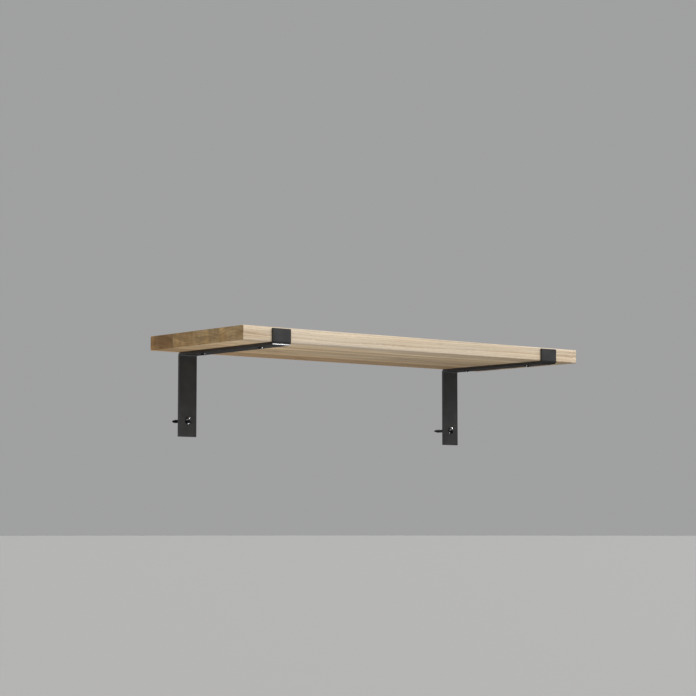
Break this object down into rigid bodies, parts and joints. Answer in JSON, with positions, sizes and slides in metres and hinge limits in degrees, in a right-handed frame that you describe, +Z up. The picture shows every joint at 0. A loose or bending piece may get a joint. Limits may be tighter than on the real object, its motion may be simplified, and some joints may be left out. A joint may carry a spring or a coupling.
{
  "type": "wall shelf with brackets",
  "caption": "Wall shelf: an oak board glued up from staves, held by bent flat-steel lip brackets and pan-head screws.",
  "frame": {"origin": "midway between the axes of the wall screws, on the wall plane (the back faces of the bracket legs)", "axes": "+X along the board to the right seen from the front, +Y into the wall, +Z up; the front edge faces -Y"},
  "size_m": [0.63, 0.26, 0.14],
  "materials": {
    "oak": "matt oiled light oak",
    "bracket_coat": "fine matt black powder coat",
    "wall_screw_metal": "black zinc, slightly worn in the recess",
    "board_screw_metal": "black zinc, slightly worn in the recess"
  },
  "bodies": {
    "root": {"stave_1": "oak", "stave_2": "oak", "stave_3": "oak", "stave_4": "oak", "bracket_left": "bracket_coat", "bracket_right": "bracket_coat", "wall_screw_left": "wall_screw_metal", "wall_screw_right": "wall_screw_metal", "board_screw_left_rear": "board_screw_metal", "board_screw_left_front": "board_screw_metal", "board_screw_right_rear": "board_screw_metal", "board_screw_right_front": "board_screw_metal"}
  },
  "joints": []
}
